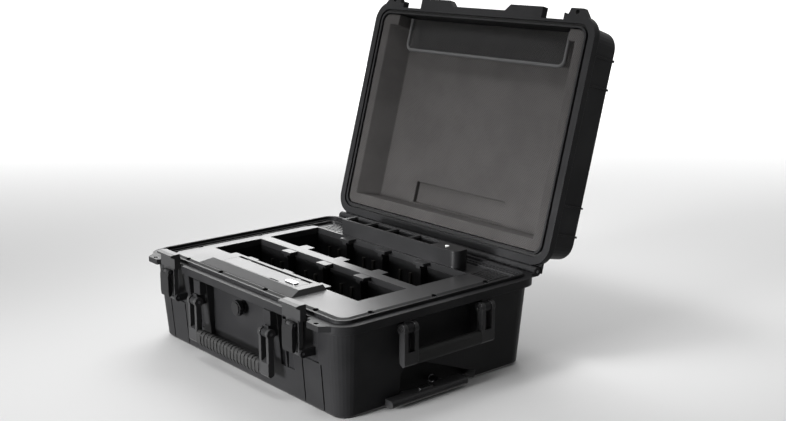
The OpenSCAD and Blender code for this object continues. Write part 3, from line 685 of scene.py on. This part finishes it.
class Bench:
    """Mesh tools shared by the sub-assemblies, which first deselect what others selected."""

    @staticmethod
    def only(piece: bpy.types.Object) -> None:
        """Selects one piece alone and makes it active."""
        bpy.ops.object.select_all(action="DESELECT")
        piece.select_set(True)
        bpy.context.view_layer.objects.active = piece

    @staticmethod
    def settle(piece: bpy.types.Object) -> bpy.types.Object:
        """Moves the piece's place, turn and size into its mesh.

        Args:
            piece: The piece.

        Returns:
            The piece.
        """
        Bench.only(piece)
        bpy.ops.object.transform_apply(location=True, rotation=True, scale=True)
        return piece

    @staticmethod
    def block(name: str, low: Point, high: Point) -> bpy.types.Object:
        """Adds a box between two corners.

        Args:
            name: The piece's name.
            low: The lowest corner, in metres.
            high: The highest corner.

        Returns:
            The piece.
        """
        bpy.ops.object.select_all(action="DESELECT")
        a, b = Vector(low), Vector(high)
        bpy.ops.mesh.primitive_cube_add(size=1.0, location=(a + b) / 2)
        piece = bpy.context.active_object
        piece.name = name
        piece.scale = b - a
        return Bench.settle(piece)

    @staticmethod
    def pick(piece: bpy.types.Object, part: str, test: Callable[..., bool]) -> None:
        """Enters edit mode with only the faces or edges that pass a test selected.

        Args:
            piece: The piece.
            part: "FACE" or "EDGE".
            test: Takes a face, or an edge's two end points, and says yes or no.
        """
        Bench.only(piece)
        bpy.ops.object.mode_set(mode="EDIT")
        bpy.ops.mesh.select_mode(type=part)
        bpy.ops.mesh.select_all(action="DESELECT")
        bpy.ops.object.mode_set(mode="OBJECT")
        mesh = piece.data
        if part == "FACE":
            for face in mesh.polygons:
                face.select = bool(test(face))
        else:
            for edge in mesh.edges:
                ends = [mesh.vertices[i].co for i in edge.vertices]
                edge.select = bool(test(*ends))
        bpy.ops.object.mode_set(mode="EDIT")

    @staticmethod
    def round_edges(
        piece: bpy.types.Object, radius: float, steps: int, test: Callable[..., bool]
    ) -> None:
        """Bevels the edges whose two ends pass a test.

        Args:
            piece: The piece.
            radius: The bevel's width, in metres.
            steps: Its segments.
            test: Takes an edge's two end points.
        """
        Bench.pick(piece, "EDGE", test)
        bpy.ops.mesh.bevel(offset=radius, segments=steps, affect="EDGES")
        bpy.ops.object.mode_set(mode="OBJECT")

    @staticmethod
    def finish_with(piece: bpy.types.Object, kind: str, **settings: object) -> None:
        """Adds a modifier and applies it.

        Args:
            piece: The piece.
            kind: The modifier's type.
            settings: Its settings.
        """
        Bench.only(piece)
        modifier = piece.modifiers.new(kind.title(), kind)
        for name, value in settings.items():
            setattr(modifier, name, value)
        bpy.ops.object.modifier_apply(modifier=modifier.name)

    @staticmethod
    def cut(piece: bpy.types.Object, tool: bpy.types.Object) -> None:
        """Cuts a tool out of a piece and removes the tool."""
        Bench.finish_with(piece, "BOOLEAN", operation="DIFFERENCE", object=tool, solver="EXACT")
        bpy.data.objects.remove(tool)

    @staticmethod
    def smooth(piece: bpy.types.Object, angle: float) -> None:
        """Shades a piece smooth across edges flatter than an angle, in degrees."""
        Bench.only(piece)
        bpy.ops.object.shade_smooth_by_angle(angle=math.radians(angle))

    @staticmethod
    def soften(piece: bpy.types.Object, radius: float, steps: int, angle: float = 30.0) -> None:
        """Rounds every sharp edge and shades the piece smooth.

        Args:
            piece: The piece.
            radius: The edge radius, in metres.
            steps: The segments of each rounding.
            angle: The largest angle between faces that is left alone, in degrees.
        """
        Bench.finish_with(
            piece,
            "BEVEL",
            width=radius,
            segments=steps,
            limit_method="ANGLE",
            angle_limit=math.radians(angle),
            miter_outer="MITER_ARC",
        )
        Bench.smooth(piece, 50.0)

    @staticmethod
    def tube(name: str, points: Sequence[Point], radius: float, sides: int = 4) -> bpy.types.Object:
        """Sweeps a round section along points.

        Args:
            name: The piece's name.
            points: The centreline, in metres.
            radius: The section's radius, in metres.
            sides: How fine the section is.

        Returns:
            The piece, as a mesh.
        """
        curve = bpy.data.curves.new(name, "CURVE")
        curve.dimensions = "3D"
        curve.bevel_depth = radius
        curve.bevel_resolution = sides
        curve.use_fill_caps = True
        spline = curve.splines.new("POLY")
        spline.points.add(len(points) - 1)
        for spot, point in zip(spline.points, points):
            spot.co = (*point, 1.0)
        piece = bpy.data.objects.new(name, curve)
        bpy.context.scene.collection.objects.link(piece)
        Bench.only(piece)
        bpy.ops.object.convert(target="MESH")
        piece = bpy.context.active_object
        Bench.smooth(piece, 60.0)
        return piece

    @staticmethod
    def dress(piece: bpy.types.Object, material: bpy.types.Material) -> None:
        """Gives the whole piece one material."""
        piece.data.materials.clear()
        piece.data.materials.append(material)


# ---- The case's finishes, by material slot ----

LID_HINGE = next(joint for joint in frame["joints"] if joint["name"] == "lid_hinge")
SWING = LidSwing(LID_HINGE["pos_m"], math.radians(LID_HINGE["range_deg"][1]))

FINISHES: dict[str, Finish] = {
    "shell": Moulded("black_shell", (0.014, 0.014, 0.015), 0.46, edge=1.2 * MM, sheen=0.2),
    "deck": Moulded(
        "deck_plastic", (0.018, 0.018, 0.019), 0.37, relief=0.03 * MM, edge=0.8 * MM, sheen=0.6
    ),
    "dark_plastic": Moulded(
        "dark_plastic", (0.006, 0.006, 0.0065), 0.42, edge=0.7 * MM, sheen=0.35
    ),
    "latch_grey": Moulded("latch_plastic", (0.026, 0.026, 0.027), 0.4, edge=1.0 * MM),
    "handle_grey": Moulded("handle_plastic", (0.022, 0.022, 0.023), 0.42, edge=1.0 * MM),
    "grip_rubber": Moulded(
        "grip_rubber", (0.014, 0.014, 0.014), 0.62, grain=1.4 * MM, relief=0.12 * MM
    ),
    "foot_rubber": Moulded("foot_rubber", (0.012, 0.012, 0.012), 0.7, grain=1.2 * MM),
    "tyre": Moulded(
        "tyre_rubber", (0.014, 0.014, 0.014), 0.66, grain=1.0 * MM, relief=0.1 * MM
    ),
    "steel": Metal("pin_steel", (0.55, 0.55, 0.56), 0.28, Axis.X),
    "tube_metal": Metal("tube_aluminium", (0.72, 0.72, 0.74), 0.24, Axis.X),
    "contact_metal": Metal("contact_metal", (0.30, 0.29, 0.27), 0.35, Axis.Z, 0.2 * MM),
    "housing_metal": Metal("housing_aluminium", (0.6, 0.6, 0.62), 0.35, Axis.Y),
    "board": Board("board_lacquer", (0.01, 0.06, 0.025)),
    "socket_plastic": Moulded(
        "socket_plastic", (0.015, 0.015, 0.016), 0.25, relief=0.01 * MM, edge=0.5 * MM
    ),
    "light": Lens("light_window", (0.9, 0.9, 0.88), 0.25),
    "foam": Foam("lid_foam", (0.060, 0.057, 0.056), SWING),
    "mesh": Net("pocket_net", (0.007, 0.007, 0.0075), SWING),
    "piping": Woven("pocket_tape", (0.10, 0.10, 0.102)),
}


@dataclass
class Dresser:
    """Gives each solid and piece the finish of its material slot."""

    made: dict[str, bpy.types.Material] = field(default_factory=dict)

    def material(self, slot: str) -> bpy.types.Material:
        """The material of a slot, made when it is first asked for.

        Args:
            slot: The material slot's name.

        Returns:
            The material.
        """
        if slot not in self.made:
            self.made[slot] = FINISHES[slot].build()
        return self.made[slot]

    def dress_frame(self) -> None:
        """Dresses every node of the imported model."""
        for row in frame["record"]["subparts"]:
            node = frame["nodes"][row["node"]]
            Bench.dress(node, self.material(row["material_slot"]))
            LOG.info("dressed %s in %s", row["node"], row["material_slot"])


# ---- The lid's lining ----


@dataclass
class LidLining:
    """Foam lining of the lid with its net pocket, drawn closed and then turned open.

    Lengths are in millimetres, in the frame, with the lid closed. A pair is half sizes
    along X and Y, or the lowest and highest place along the axis in its name.
    """

    dresser: Dresser
    half: Point = (257.0, 188.8)
    bottom: float = 155.6
    top: float = 221.5
    corner: float = 15.0
    corner_steps: int = 6
    edge: float = 1.6
    edge_steps: int = 3
    floor: float = 200.0
    mouth: Point = (238.0, 168.5)
    inner: Point = (215.0, 165.5)
    bay_x: Point = (-213.0, 222.0)
    bay_y: Point = (-230.0, -151.0)
    recess_x: Point = (-118.0, 118.0)
    recess_y: Point = (121.0, 161.0)
    recess_depth: float = 8.0
    overlap: float = 1.0
    net_x: Point = (-197.0, 206.0)
    net_y: Point = (-186.0, -126.0)
    net_z: float = 177.0
    net_squares: tuple[int, int] = (96, 16)
    bulge: float = 9.0
    piping_radius: float = 3.3
    piping_bend: float = 12.0
    bend_steps: int = 8

    def box(self, name: str, x: Point, y: Point, z: Point) -> bpy.types.Object:
        """Adds a box from its lowest and highest place along each axis, in millimetres.

        Args:
            name: The piece's name.
            x: Its two ends along X.
            y: Its two ends along Y.
            z: Its two ends along Z.

        Returns:
            The piece.
        """
        low, high = ([span[end] * MM for span in (x, y, z)] for end in (0, 1))
        return Bench.block(name, low, high)

    def foam(self) -> bpy.types.Object:
        """Makes the foam lining with its sloping sides, pocket bay and shallow recess.

        Returns:
            The piece, for the closed lid.
        """
        (hx, hy), (mx, my) = self.half, self.mouth
        mouth_z = (self.bottom - self.overlap, self.floor)
        recess_z = (self.floor - self.overlap, self.floor + self.recess_depth)
        upright = (self.top - self.bottom) * MM / 2
        piece = self.box("foam_lining", (-hx, hx), (-hy, hy), (self.bottom, self.top))
        Bench.round_edges(
            piece, self.corner * MM, self.corner_steps, lambda a, b: abs(a.z - b.z) > upright
        )
        hollow = self.box("hollow", (-mx, mx), (-my, my), mouth_z)
        Bench.pick(hollow, "FACE", lambda face: face.normal.z > 0.9)
        bpy.ops.transform.resize(value=(self.inner[0] / mx, self.inner[1] / my, 1.0))
        bpy.ops.object.mode_set(mode="OBJECT")
        Bench.cut(piece, hollow)
        Bench.cut(piece, self.box("bay", self.bay_x, self.bay_y, mouth_z))
        Bench.cut(piece, self.box("recess", self.recess_x, self.recess_y, recess_z))
        Bench.soften(piece, self.edge * MM, self.edge_steps)
        return piece

    def net(self) -> bpy.types.Object:
        """Makes the net panel, which bulges between its taped edges.

        Returns:
            The piece, for the closed lid.
        """
        bpy.ops.object.select_all(action="DESELECT")
        along, across = self.net_squares
        bpy.ops.mesh.primitive_grid_add(x_subdivisions=along, y_subdivisions=across, size=1.0)
        piece = bpy.context.active_object
        piece.name = "pocket_net"
        x0, x1 = (v * MM for v in self.net_x)
        y0, y1 = (v * MM for v in self.net_y)
        piece.scale = (x1 - x0, y1 - y0, 1.0)
        piece.location = ((x0 + x1) / 2, (y0 + y1) / 2, self.net_z * MM)
        Bench.settle(piece)
        for vertex in piece.data.vertices:
            right = (vertex.co.x - x0) / (x1 - x0)
            back = (vertex.co.y - y0) / (y1 - y0)
            sag = max(0.0, math.sin(math.pi * right)) ** 0.5 * math.sin(math.pi * back)
            vertex.co.z -= self.bulge * MM * sag
        Bench.only(piece)
        bpy.ops.object.shade_smooth()
        return piece

    def piping(self) -> bpy.types.Object:
        """Makes the taped edge that runs down one side, along the net and up the other.

        Returns:
            The piece, for the closed lid.
        """
        x0, x1 = (v * MM for v in self.net_x)
        y0, y1 = (v * MM for v in self.net_y)
        z, r = self.net_z * MM, self.piping_bend * MM
        points = [(x0, y0, z)]
        for centre, start in ((x0 + r, 180.0), (x1 - r, 90.0)):
            for step in range(self.bend_steps + 1):
                a = math.radians(start - step * 90.0 / self.bend_steps)
                points.append((centre + r * math.cos(a), y1 - r + r * math.sin(a), z))
        points.append((x1, y0, z))
        return Bench.tube("pocket_piping_tube", points, self.piping_radius * MM)

    def fit(self, piece: bpy.types.Object, slot: str, node: str) -> None:
        """Turns a piece open, dresses it and puts it on the lid in a solid's place.

        Args:
            piece: The piece, drawn for the closed lid.
            slot: Its material slot.
            node: The solid that it stands for.
        """
        piece.data.transform(SWING.opening())
        piece.data.update()
        Bench.dress(piece, self.dresser.material(slot))
        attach(piece, "lid")
        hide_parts(node)
        LOG.info("built %s", piece.name)

    def build(self) -> None:
        """Builds the lining's pieces."""
        foam = self.foam()
        self.fit(foam, "foam", "lid_foam")
        net = self.net()
        self.fit(net, "mesh", "mesh_pocket")
        self.fit(self.piping(), "piping", "pocket_piping")


# ---- Studio ----


@dataclass(frozen=True)
class Lamp:
    """A soft rectangular light; the beam is its widest angle, in degrees."""

    name: str
    place: Point
    target: Point
    size: Point
    power: float
    beam: float = 180.0

    def build(self) -> None:
        """Adds the light."""
        data = bpy.data.lights.new(self.name, "AREA")
        data.shape = "RECTANGLE"
        data.size, data.size_y = self.size
        data.energy = self.power
        data.spread = math.radians(self.beam)
        lamp = bpy.data.objects.new(self.name, data)
        bpy.context.scene.collection.objects.link(lamp)
        lamp.location = self.place
        way = Vector(self.target) - Vector(self.place)
        lamp.rotation_euler = way.to_track_quat("-Z", "Y").to_euler()


@dataclass
class Studio:
    """Floor, surroundings, lights and camera, in metres. Lens and sensor are in millimetres."""

    eye: Point = (1.5348, -1.1785, 0.7055)
    look: Point = (-0.7406, 0.6306, -0.2320)
    lens: float = 53.7
    sensor: float = 36.0
    sight: float = 100.0
    floor_size: float = 60.0
    floor_colour: Rgb = (0.74, 0.74, 0.74)
    bright_side: Point = (-0.92, 0.25, 0.3)
    dim_at: float = -0.7
    bright_at: float = 0.9
    dim: float = 0.01
    bright: float = 0.95
    lamps: tuple[Lamp, ...] = (
        Lamp("key_lamp", (-1.6, 1.6, 2.4), (0.0, 0.1, 0.0), (1.8, 1.6), 40.0),
        Lamp("low_card", (-3.8, 2.0, 1.3), (-0.3, 0.0, 0.15), (2.6, 1.7), 58.0),
        Lamp("front_fill", (-0.1, -2.4, 0.5), (0.05, -0.2, 0.06), (1.2, 0.5), 4.5, beam=28.0),
        Lamp("lid_lamp", (-0.55, -0.5, 2.2), (0.0, 0.3, 0.42), (0.9, 0.6), 1.3, beam=40.0),
    )

    def surroundings(self) -> None:
        """Makes the light that comes from all round, strongest from the case's left."""
        world = bpy.data.worlds.new("studio_room")
        bpy.context.scene.world = world
        world.use_nodes = True
        nodes = Nodes(world.node_tree)
        way = nodes.node("ShaderNodeTexCoord", output="Generated")
        strength = nodes.node(
            "ShaderNodeMapRange",
            None,
            {
                "Value": nodes.along(way, self.bright_side),
                "From Min": self.dim_at,
                "From Max": self.bright_at,
                "To Min": self.dim,
                "To Max": self.bright,
            },
        )
        glow = nodes.node("ShaderNodeBackground", None, {"Strength": strength})
        nodes.end("ShaderNodeOutputWorld", glow.socket)

    def floor(self) -> None:
        """Lays the floor, which isn't part of the object and isn't mirrored in it."""
        bpy.ops.object.select_all(action="DESELECT")
        bpy.ops.mesh.primitive_plane_add(size=self.floor_size, location=ZERO)
        ground = bpy.context.active_object
        ground.name = "studio_floor"
        Bench.settle(ground)
        Bench.dress(ground, Ground("floor_paper", self.floor_colour).build())
        ground.visible_glossy = False

    def camera(self) -> None:
        """Adds the camera."""
        data = bpy.data.cameras.new("studio_camera")
        data.sensor_width = self.sensor
        data.lens = self.lens
        data.clip_end = self.sight
        camera = bpy.data.objects.new("studio_camera", data)
        bpy.context.scene.collection.objects.link(camera)
        camera.location = self.eye
        camera.rotation_euler = Vector(self.look).to_track_quat("-Z", "Y").to_euler()
        bpy.context.scene.camera = camera

    def build(self) -> None:
        """Builds the studio."""
        bpy.context.scene.view_settings.view_transform = "Standard"
        self.surroundings()
        self.floor()
        for lamp in self.lamps:
            lamp.build()
        self.camera()
        LOG.info("built the studio with %d lamps", len(self.lamps))


def main() -> None:
    """Builds the sub-assemblies in order."""
    logging.basicConfig(level=logging.INFO, format="%(message)s")
    Studio().build()
    dresser = Dresser()
    dresser.dress_frame()
    LidLining(dresser).build()


if __name__ == "__main__":
    main()
